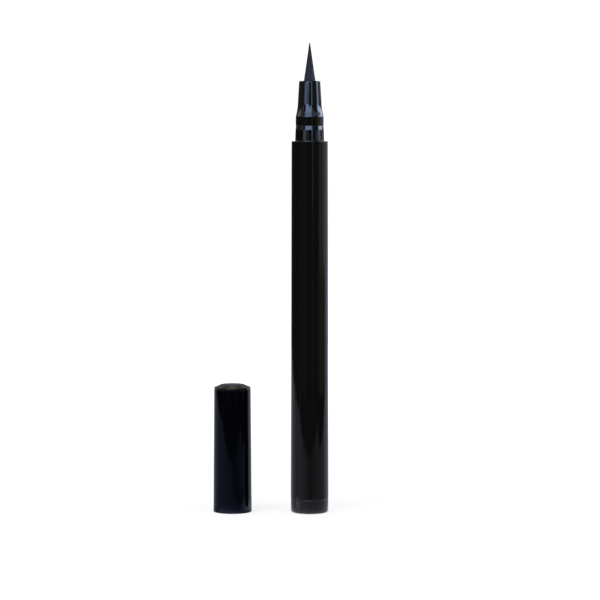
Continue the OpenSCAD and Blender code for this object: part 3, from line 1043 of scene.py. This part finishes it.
@dataclass
class InkFeed:
    """Ink feed inside the barrel: comb, bush, fibre core and mixing ball. Sizes are in millimetres."""

    core_lead: float = 0.2

    def core(self) -> Outline:
        """Returns the outline of the fibre core."""
        low, high, radius = bottom_mm("feed_core"), top_mm("feed_core"), radius_mm("feed_core")
        lead = self.core_lead
        outline = Outline().to(0, low).to(radius - lead, low).to(radius, low + lead)
        return outline.to(radius, high - lead).to(radius - lead, high).to(0, high)

    def ball(self) -> Outline:
        """Returns the outline of the mixing ball."""
        low, high = bottom_mm("mixing_ball"), top_mm("mixing_ball")
        return Outline(hold=1.0).arc((0, (low + high) / 2), (high - low) / 2, -90, 90, steps=48)

    def build(self, shop: Workshop) -> None:
        """Builds the core and the ball and dresses the comb and the bush."""
        shop.fit("fibre_core", self.core(), "feed_core", FINISHES.core)
        shop.fit("steel_ball", self.ball(), "mixing_ball", FINISHES.ball, Body.BALL)
        dress("collector", FINISHES.collector.material())
        dress("tank_bush", FINISHES.bush.material())


@dataclass
class Cap:
    """Cap with its end piece, inner cap and spring. Heights are from the cap's mouth, in millimetres."""

    base_r: float = 5.35
    end_r: float = 5.13
    bore_r: float = 4.11
    lip: float = 1.6
    mouth_round: float = 0.3
    snap_r: float = 3.85
    snap_z: float = 4.075
    snap_len: float = 0.7
    stop_rise: float = 0.27
    stop_len: float = 0.5
    lead_in: float = 0.2
    end_seam: float = 0.26
    end_round: float = 0.15
    end_rise: float = 0.88
    face_r: float = 3.16
    face_round: float = 1.2
    end_spigot: float = 1.2
    end_wall: float = 0.8
    end_recess: float = 0.5
    press_gap: float = 0.03
    seam_round: float = 0.05
    groove_depth: float = 0.15
    liner_wall: float = 0.8
    liner_end: float = 0.9
    liner_lip_r: float = 3.19
    liner_lip_len: float = 0.8
    wire_r: float = 0.175
    coil_turns: float = 4.5
    coil_steps: int = 40
    wire_sides: int = 14

    def __post_init__(self) -> None:
        """Takes the cap's place and heights from the frame."""
        low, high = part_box("cap_shell")
        self.place = Vector(((low.x + high.x) / 2, (low.y + high.y) / 2, 0))
        self.length = high.z / MM
        self.apex = top_mm("cap_top")
        self.mouth_r = radius_mm("cap_shell")
        self.liner_r = radius_mm("inner_cap")
        self.liner_z = bottom_mm("inner_cap")
        self.liner_top = top_mm("inner_cap")

    def shell(self) -> Outline:
        """Returns the outline of the cap's shell, with its lip, and its ledge and snap ring inside."""
        rounding, lead, seam = self.mouth_round, self.lead_in, self.seam_round
        outline = Outline().arc((self.mouth_r - rounding, rounding), rounding, -90, 0)
        outline.to(self.base_r, self.lip)
        outline.arc((self.end_r - seam, self.length - seam), seam, 0, 90, steps=4)
        outline.to(self.bore_r, self.length).to(self.bore_r, self.liner_z)
        outline.to(self.bore_r - self.stop_rise, self.liner_z)
        outline.to(self.bore_r - self.stop_rise, self.liner_z - self.stop_len)
        outline.to(self.bore_r, self.liner_z - self.stop_len - self.stop_rise)
        half = self.snap_len / 2
        outline.to(self.bore_r, self.snap_z + half).to(self.snap_r, self.snap_z)
        outline.to(self.bore_r, self.snap_z - half)
        return outline.to(self.bore_r, lead).to(self.bore_r + lead, 0).close()

    def end_piece(self) -> Outline:
        """Returns the outline of the end piece: its spigot, the seam's groove, bevel and flat face."""
        seam_z = self.length + self.end_seam
        groove_r = self.end_r - self.groove_depth
        spigot_r = self.bore_r - self.press_gap
        web_z = self.length + self.end_recess
        low = self.length - self.end_spigot
        # The bevel leans between a small round at the rim and a larger one at the face
        lean = math.atan(self.end_rise / (self.end_r - self.face_r))
        edge_z = self.apex - self.end_rise + self.end_round * (math.tan(lean) - 1 / math.cos(lean))
        face_arc_r = self.face_r - self.face_round * math.tan(lean / 2)
        crest = 90 - math.degrees(lean)
        outline = Outline(hold=0.08).to(0, web_z).to(spigot_r - self.end_wall, web_z)
        outline.to(spigot_r - self.end_wall, low).to(spigot_r - self.lead_in, low)
        outline.to(spigot_r, low + self.lead_in).to(spigot_r, self.length)
        outline.to(groove_r, self.length).to(groove_r, seam_z).to(self.end_r, seam_z)
        outline.arc((self.end_r - self.end_round, edge_z), self.end_round, 0, crest)
        outline.arc((face_arc_r, self.apex - self.face_round), self.face_round, crest, 90)
        return outline.to(0, self.apex)

    def liner(self) -> Outline:
        """Returns the outline of the inner cap that seals on the section."""
        low, high, lead, wall = self.liner_z, self.liner_top, self.lead_in, self.liner_wall
        bore_r = self.liner_r - wall
        ceiling = high - self.liner_end
        outline = Outline().to(self.liner_lip_r + lead, low).to(self.liner_r, low)
        outline.to(self.liner_r, high - lead).to(self.liner_r - lead, high)
        outline.to(0, high).to(0, ceiling).to(bore_r - wall, ceiling)
        outline.arc((bore_r - wall, ceiling - wall), wall, 90, 0, steps=8)
        outline.to(bore_r, low + self.liner_lip_len).to(self.liner_lip_r, low + self.liner_lip_len - lead)
        return outline.to(self.liner_lip_r, low + lead).close()

    def spring(self, shop: Workshop) -> Object:
        """Builds the spring between the inner cap and the closed end.

        Args:
            shop: Trees to build with.

        Returns:
            The spring.
        """
        low, high = bottom_mm("inner_cap_spring"), top_mm("inner_cap_spring")
        values = {
            "Turns": self.coil_turns,
            "Coil Radius": (radius_mm("inner_cap_spring") - self.wire_r) * MM,
            "Rise": (high - low - 2 * self.wire_r) * MM,
            "Wire Radius": self.wire_r * MM,
            "Steps": self.coil_steps,
            "Sides": self.wire_sides,
            "Finish": FINISHES.spring.material(),
        }
        place = self.place + Vector((0, 0, (low + self.wire_r) * MM))
        return shop.run("spring_coil", bpy.data.meshes.new("spring_coil"), shop.coil, values, place)

    def build(self, shop: Workshop) -> None:
        """Builds and dresses the cap's pieces."""
        for name, outline, node, finish, body in (
            ("cap_tube", self.shell(), "cap_shell", FINISHES.cap, Body.CAP),
            ("cap_end_piece", self.end_piece(), "cap_top", FINISHES.cap_top, Body.CAP),
            ("inner_cap_liner", self.liner(), "inner_cap", FINISHES.liner, Body.LINER),
        ):
            # The pen's gloss shows the pale sheet where the cap's own image would hide it
            shop.fit(name, outline, node, finish, body, self.place).visible_glossy = False
        spring = stand_in_for(self.spring(shop), "inner_cap_spring", Body.CAP)
        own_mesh(spring)


@dataclass(frozen=True)
class Lamp:
    """Soft box that lights the set and isn't mirrored, between compass angles and heights in degrees."""

    name: str
    left: float
    right: float
    low: float
    high: float
    light: tuple[float, float, float]


@dataclass(frozen=True)
class Panel:
    """Glowing panel that only the gloss mirrors. Its corners are compass angles and heights in degrees."""

    name: str
    light: tuple[float, float, float]
    corners: tuple[tuple[float, float], ...]


def block(left: float, right: float, low: float, high: float) -> tuple[tuple[float, float], ...]:
    """Returns the corners of a panel between compass angles and heights."""
    return (left, low), (right, low), (right, high), (left, high)


@dataclass(frozen=True)
class Card:
    """Upright card beside the set, seen only in the pen's gloss. Angles in degrees, lengths in metres."""

    name: str
    left: float
    right: float
    distance: float
    top: float
    glow: tuple[float, float, float]
    foot: float = 0.0
    foot_glow: tuple[float, float, float] = (0.0, 0.0, 0.0)


@dataclass(frozen=True)
class Spot:
    """Brighter spot on the sheet round a foot, in metres. It ends behind a share of the way back, up to 1."""

    place: tuple[float, float]
    light: float
    inner: float
    outer: float
    fall: float = 1.5
    back: float = 1.5
    soft: float = 0.4


@dataclass
class Studio:
    """Camera, paper sheet on a dark table, soft boxes and room. Pixels are those of the photograph.

    What only gloss sees, which is the sheet's brightness, the spots, the panels, the cards and the room, is
    fitted to the tones of the photograph. It isn't the white background that the camera sees.
    """

    photo_px: float = 600.0
    focal_px: float = 2625.0
    mm_per_px: float = 0.2789
    pen_axis_px: float = 309.65
    pen_foot_px: float = 511.8
    eye_height_mm: float = 105.0
    sensor_mm: float = 36.0
    lamp_distance: float = 1.2
    aim_height: float = 0.11
    table_reach: float = 3.0
    table_drop: float = 0.001
    table_light: float = 0.03
    table_colour: str = "#a0a0a0"
    sheet_colour: str = "#8c8c8c"
    backdrop_white: float = 1.03
    card_blur: float = 0.004
    # Dark room in front, and the wall behind by its height. It starts between these shares of the way back
    room_dark: tuple[float, ...] = (0.033, 0.032, 0.031, 1.0)
    wall_start: tuple[float, float] = (0.1, 0.55)
    wall_tones: tuple[tuple[float, tuple[float, ...]], ...] = (
        (0.03, (0.03, 0.03, 0.03)), (0.14, (0.17, 0.18, 0.24)), (0.4, (0.3, 0.31, 0.29)),
        (0.6, (0.35, 0.34, 0.28)), (0.8, (0.2, 0.2, 0.19)),
    )
    white_near: float = 0.7
    near_reach: float = 0.05
    far_reach: float = 0.4
    sheet: tuple[tuple[float, float], ...] = (
        (-0.265, -0.124), (-0.134, -0.144), (0.0, -0.142), (0.19, -0.166), (0.14, -0.068), (0.208, -0.01),
        (0.33, 0.1), (0.5, 0.5), (-0.3, 0.7), (-0.36, 0.3), (-0.36, 0.11), (-0.33, -0.011),
    )
    # Brightness of the sheet as the pen's gloss sees it, by its compass angle. Its stops stand at columns of
    # the photograph across the barrel, and its levels follow the tones there
    sheet_light: tuple[tuple[float, float], ...] = (
        (-180, 0.5), (-142, 0.38), (-126, 0.41), (-102, 0.33), (-84, 0.28), (-60, 0.34), (-39, 0.24),
        (-19, 0.21), (-10, 0.13), (0, 0.08), (19, 0.12), (38, 0.17), (67, 0.23), (83, 0.27), (92, 0.32),
        (101, 0.4), (112, 0.58), (124, 0.57), (140, 0.5), (180, 0.5),
    )
    sheet_tint: tuple[float, float, float] = (0.97, 0.96, 1.16)
    spots: tuple[Spot, ...] = (
        Spot((0.0, 0.0), 0.8, 0.006, 0.019),
        Spot((0.018, 0.0), 0.26, 0.006, 0.016),
        Spot((-0.0255, -0.002), 0.85, 0.008, 0.018, back=-0.1),
    )
    lamps: tuple[Lamp, ...] = (
        Lamp("key_left", -60, 0, 20, 60, (3.9, 3.95, 4.2)),
        Lamp("key_right", 30, 90, 20, 60, (2.1, 2.15, 2.3)),
        Lamp("key_back", 170, 230, 20, 60, (1.6, 1.6, 1.7)),
        Lamp("key_top", -30, 30, 65, 115, (1.0, 1.0, 1.05)),
    )
    panels: tuple[Panel, ...] = (
        # Big box over the camera, with a notch where the lens looks through
        Panel(
            "front_box_low", (2.7, 3.6, 5.8),
            (
                (-38, 8), (-9, 8), (-4, 12), (1, 14.5), (6, 13.5), (13, 9.5), (18.5, 10.5), (18.5, 20),
                (-45, 20), (-38, 18),
            ),
        ),
        Panel("front_box_mid", (2.1, 2.7, 4.3), block(-45, 18, 20, 26)),
        Panel("front_box_top", (2.2, 2.6, 3.1), block(-45, 17, 26, 50)),
        Panel("front_box_left_flap", (1.5, 2.05, 3.1), block(-53, -29, 4.5, 8)),
        Panel("front_box_left_foot", (0.9, 1.1, 1.4), block(-53, -29, 1.9, 4.5)),
        Panel("front_box_flap", (0.55, 0.85, 1.3), block(-29, -7, 4.5, 8)),
        Panel("front_box_foot", (0.22, 0.25, 0.25), block(-29, -7, 1.9, 4.5)),
        Panel("front_strip", (1.1, 1.5, 2.2), ((14, 4), (27, 4), (27, 9.5), (18.5, 10.5), (14, 9.5))),
        Panel("front_strip_foot", (0.7, 0.95, 1.4), block(14, 27, 1.9, 4)),
        Panel("front_bounce", (0.6, 0.75, 1.1), block(20, 54, 14, 45)),
        # Boxes at the right, which the pen's side mirrors lower down than its middle
        Panel("right_strip", (2.5, 3.3, 4.8), block(77, 98, 4.5, 6.8)),
        Panel("right_strip_foot", (1.3, 1.7, 2.4), block(74, 96, 1.8, 4.5)),
        Panel(
            "right_box", (4.4, 5.8, 8.4),
            ((77, 6.8), (98, 6.8), (98, 7.4), (120, 7.2), (118, 11), (106, 12.8), (97, 15.2), (77, 15.6)),
        ),
        Panel(
            "right_box_shade", (1.4, 1.6, 1.85),
            ((74, 15.6), (97, 15.2), (106, 12.8), (104, 14.5), (102, 17.5), (90, 19.5), (74, 20.5)),
        ),
        Panel(
            "right_box_high", (3.6, 4.4, 5.6),
            ((120, 7.2), (140, 6.3), (140, 30), (104, 30), (104, 14.5), (106, 12.8), (118, 11)),
        ),
        Panel("right_box_top", (2.1, 2.5, 3.4), ((78, 20.5), (90, 19.5), (102, 17.5), (104, 27), (78, 27))),
        Panel("right_far", (0.28, 0.35, 0.52), ((98, 4.5), (150, 4.5), (150, 6), (120, 7.2), (98, 7.4))),
        Panel("right_far_foot", (0.35, 0.33, 0.35), block(96, 150, 1.8, 4.5)),
        Panel("right_near_foot", (0.6, 0.65, 0.65), block(57, 74, 1.8, 4.5)),
        Panel("right_bounce_foot", (0.3, 0.35, 0.35), block(47, 57, 1.8, 4.5)),
        Panel("right_bounce", (0.12, 0.12, 0.1), block(27, 77, 5, 18)),
        Panel("right_bounce_top", (0.55, 0.55, 0.55), block(54, 77, 18.5, 45)),
        # Walls at the left, and behind over the cap's bevel
        Panel("left_low", (0.13, 0.13, 0.14), block(-150, -54, 3.5, 8.3)),
        Panel("left_mid", (0.42, 0.42, 0.45), block(-88, -54, 8.3, 45)),
        Panel("left_high", (1.35, 1.28, 1.3), block(-119, -88, 8.3, 45)),
        Panel("back_top", (0.7, 0.62, 0.5), block(150, 210, 45, 75)),
    )
    cards: tuple[Card, ...] = (
        Card("side_wall_near", 60, 88, 0.362, 0.118, (0.33, 0.26, 0.18), 0.0515, (0.15, 0.16, 0.1)),
        Card("side_wall_mid", 88, 97, 0.362, 0.118, (0.4, 0.32, 0.26), 0.0515, (0.12, 0.12, 0.12)),
        Card("side_wall_far", 97, 106, 0.362, 0.118, (0.52, 0.49, 0.53), 0.0515, (0.15, 0.13, 0.16)),
        Card("side_card", 106, 118, 0.362, 0.118, (0.5, 0.47, 0.52), 0.0515, (0.33, 0.3, 0.42)),
        Card("side_card_back", 118, 152, 0.362, 0.118, (0.46, 0.45, 0.55), 0.0515, (0.5, 0.53, 0.75)),
        Card("back_card", 195, 220, 0.6, 0.13, (0.07, 0.07, 0.075)),
        Card("stand_left", -63, -57, 0.3, 0.12, (0.12, 0.12, 0.125)),
        Card("stand_mid", -46, -16, 0.35, 0.12, (0.06, 0.065, 0.05)),
        Card("stand_right", 14, 24, 0.3, 0.12, (0.22, 0.23, 0.15), 0.08, (0.08, 0.075, 0.07)),
        Card("stand_side", 46, 58, 0.4, 0.12, (0.06, 0.07, 0.04)),
    )

    def camera(self) -> None:
        """Makes the camera at the photograph's viewing angle."""
        data = bpy.data.cameras.new("camera")
        data.sensor_width = self.sensor_mm
        data.lens = self.sensor_mm * self.focal_px / self.photo_px
        camera = new_object("camera", data)
        distance = self.focal_px * self.mm_per_px * MM
        aside = (self.photo_px / 2 - self.pen_axis_px) * self.mm_per_px * MM
        height = self.eye_height_mm * MM
        camera.location = (aside, -distance, height)
        # The foot's angle below the horizon, less its angle below the picture's middle
        below = math.atan((self.pen_foot_px - self.photo_px / 2) / self.focal_px)
        camera.rotation_euler = (math.pi / 2 - (math.atan(height / distance) - below), 0, 0)
        bpy.context.scene.camera = camera

    def toward(self, azimuth: float, elevation: float) -> Vector:
        """Returns the direction at a compass angle, 0 to the camera and 90 to the right, and a height."""
        a, e = math.radians(azimuth), math.radians(elevation)
        return Vector((math.sin(a) * math.cos(e), -math.cos(a) * math.cos(e), math.sin(e)))

    def hang(self, lamp: Lamp) -> None:
        """Hangs a soft box between its angles, as seen from the pen."""
        aim = self.toward((lamp.left + lamp.right) / 2, (lamp.low + lamp.high) / 2)
        reach = 2 * self.lamp_distance
        data = bpy.data.lights.new(lamp.name, "AREA")
        data.shape = "RECTANGLE"
        data.size = reach * math.tan(math.radians(lamp.right - lamp.left) / 2)
        data.size_y = reach * math.tan(math.radians(lamp.high - lamp.low) / 2)
        peak = max(lamp.light)
        data.color = tuple(part / peak for part in lamp.light)
        # A lamp's power over its area and pi is the brightness of its face
        data.energy = peak * data.size * data.size_y * math.pi
        box = new_object(lamp.name, data)
        box.location = Vector((0, 0, self.aim_height)) + aim * self.lamp_distance
        box.rotation_euler = aim.to_track_quat("Z", "Y").to_euler()
        box.visible_glossy = False

    def set_piece(self, name: str, corners: list[tuple[float, float, float]], material: Material) -> Object:
        """Makes a flat stage piece with these corners, in metres, and returns it."""
        mesh = bpy.data.meshes.new(name)
        mesh.from_pydata(corners, [], [tuple(range(len(corners)))])
        mesh.materials.append(material)
        piece = new_object(name, mesh)
        return piece

    def show(self, tree: NodeTree, shader: NodeSocket) -> None:
        """Makes a shader the surface of a material."""
        add_node(tree, "ShaderNodeOutputMaterial", {"Surface": shader})

    def glow(self, tree: NodeTree, colour: Any = WHITE, strength: Any = 1.0) -> NodeSocket:
        """Adds a glow and returns its shader."""
        return add_node(tree, "ShaderNodeEmission", {"Color": colour, "Strength": strength}).outputs[0]

    def mirrored_piece(
        self, name: str, corners: list[tuple[float, float, float]], upper: Any, lower: Any = None,
        line: float = 0.0,
    ) -> None:
        """Makes a glowing piece that shows in gloss alone, in one tone or in two with a soft line.

        Args:
            name: Name of the piece and its material.
            corners: Its corners in order, in metres.
            upper: Light that it gives.
            lower: Light below the line, if there is one.
            line: Height of the line in metres.
        """
        material = bpy.data.materials.new(name)
        tree = bare_tree(material)
        colour = (*upper, 1.0)
        if lower:
            height = split(tree, own_place(tree))["Z"]
            above = span(tree, height, line - self.card_blur, line + self.card_blur)
            colour = blend(tree, above, (*lower, 1.0), colour)
        self.show(tree, self.glow(tree, colour))
        piece = self.set_piece(name, corners, material)
        piece.visible_camera = piece.visible_shadow = piece.visible_diffuse = False

    def stand_card(self, card: Card) -> None:
        """Stands a glowing card on the table."""
        left, right = (self.toward(a, 0) * card.distance for a in (card.left, card.right))
        corners = [(left.x, left.y, 0.0), (right.x, right.y, 0.0), (right.x, right.y, card.top)]
        corners.append((left.x, left.y, card.top))
        self.mirrored_piece(card.name, corners, card.glow, card.foot_glow if card.foot else None, card.foot)

    def hang_panel(self, panel: Panel) -> None:
        """Hangs a glowing panel."""
        middle = Vector((0, 0, self.aim_height))
        corners = [tuple(middle + self.toward(a, e) * self.lamp_distance) for a, e in panel.corners]
        self.mirrored_piece(panel.name, corners, panel.light)

    def paper(
        self, name: str, colour: str, near: float, light: Any, spots: tuple[Spot, ...] = ()
    ) -> Material:
        """Builds the material of the sheet or of the table under it.

        Args:
            name: Name of the material.
            colour: Its colour, for its own light and shadow.
            near: Glow for the camera close to the pen, rising to 1 away from it.
            light: Brightness in the pen's gloss, by compass angle.
            spots: Brighter spots on it.

        Returns:
            The material: to the camera white but for the shadow, and to gloss as bright as light says.
        """
        material = bpy.data.materials.new(name)
        tree = bare_tree(material)
        maths = partial(arithmetic, tree)
        place = own_place(tree)
        distance = add_node(tree, "ShaderNodeVectorMath", {0: place}, operation="LENGTH").outputs["Value"]
        white = span(tree, distance, self.near_reach, self.far_reach, near, 1.0, smooth=True)
        ray = add_node(tree, "ShaderNodeLightPath").outputs
        diffuse = add_node(tree, "ShaderNodeBsdfDiffuse", {"Color": linear(colour)}).outputs[0]
        shine = self.glow(tree, WHITE, maths("MULTIPLY", ray["Is Camera Ray"], white))
        plain = add_node(tree, "ShaderNodeAddShader", {0: diffuse, 1: shine}).outputs[0]
        across = split(tree, place)
        angle = maths("ARCTAN2", across["X"], maths("MULTIPLY", across["Y"], -1.0))
        turn = maths("MULTIPLY_ADD", angle, 1 / math.tau, 0.5)
        tint = self.sheet_tint
        tones = [(azimuth / 360 + 0.5, [level * part for part in tint]) for azimuth, level in light]
        mirrored = self.glow(tree, ramp(tree, turn, tones))
        for spot in spots:
            bright = self.spot_glow(tree, place, spot)
            mirrored = add_node(tree, "ShaderNodeAddShader", {0: mirrored, 1: bright}).outputs[0]
        both = add_node(tree, "ShaderNodeMixShader", {0: ray["Is Glossy Ray"], 1: plain, 2: mirrored})
        self.show(tree, both.outputs[0])
        return material

    def spot_glow(self, tree: NodeTree, place: NodeSocket, spot: Spot) -> NodeSocket:
        """Adds the light of a spot at a place on the sheet and returns its shader."""
        maths = partial(arithmetic, tree)
        ends = {0: place, 1: (*spot.place, 0.0)}
        away = add_node(tree, "ShaderNodeVectorMath", ends, operation="SUBTRACT").outputs[0]
        distance = add_node(tree, "ShaderNodeVectorMath", {0: away}, operation="LENGTH").outputs["Value"]
        fall = maths("POWER", span(tree, distance, spot.inner, spot.outer, spot.light, 0.0), spot.fall)
        share = maths("DIVIDE", split(tree, away)["Y"], distance)
        front = span(tree, share, spot.back, spot.back - spot.soft)
        return self.glow(tree, WHITE, maths("MULTIPLY", fall, front))

    def surface(self) -> None:
        """Lays the sheet on the table."""
        reach, low = self.table_reach, -self.table_drop
        table = [(-reach, -reach, low), (reach, -reach, low), (reach, reach, low), (-reach, reach, low)]
        dark = ((-180, self.table_light), (180, self.table_light))
        self.set_piece("table", table, self.paper("dark_table", self.table_colour, 1.0, dark))
        sheet = [(x, y, 0.0) for x, y in self.sheet]
        paper = self.paper("paper_sheet", self.sheet_colour, self.white_near, self.sheet_light, self.spots)
        self.set_piece("sheet", sheet, paper)

    def room(self) -> None:
        """Sets the world: white to the camera, and to all else a dark room with a grey wall behind."""
        world = bpy.data.worlds.new("studio")
        bpy.context.scene.world = world
        tree = bare_tree(world)
        way = split(tree, add_node(tree, "ShaderNodeTexCoord").outputs["Generated"])
        behind = span(tree, way["Y"], *self.wall_start, smooth=True)
        wall = blend(tree, behind, self.room_dark, ramp(tree, way["Z"], self.wall_tones))
        seen = add_node(tree, "ShaderNodeLightPath").outputs["Is Camera Ray"]
        shown = blend(tree, seen, wall, (*(self.backdrop_white,) * 3, 1.0))
        background = add_node(tree, "ShaderNodeBackground", {"Color": shown, "Strength": 1.0})
        add_node(tree, "ShaderNodeOutputWorld", {"Surface": background.outputs[0]})

    def build(self) -> None:
        """Sets up the surface, the room, the lamps and the cards."""
        self.surface()
        self.room()
        for lamp in self.lamps:
            self.hang(lamp)
        for panel in self.panels:
            self.hang_panel(panel)
        for card in self.cards:
            self.stand_card(card)
        bpy.context.scene.view_settings.view_transform = "Standard"
        counts = (len(self.lamps), len(self.panels), len(self.cards))
        log.info("studio has %d lamps, %d panels, %d cards", *counts)


def main() -> None:
    """Builds the pen, the cap and the studio round the frame."""
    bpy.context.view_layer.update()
    studio = Studio()
    studio.camera()
    shop = Workshop(turned_tree(), bundle_tree(), coil_tree())
    for part in (Barrel(), FrontSection(), InkFeed(), Cap()):
        part.build(shop)
    studio.build()


if __name__ == "__main__":
    logging.basicConfig(level=logging.INFO, format="%(message)s")
    main()
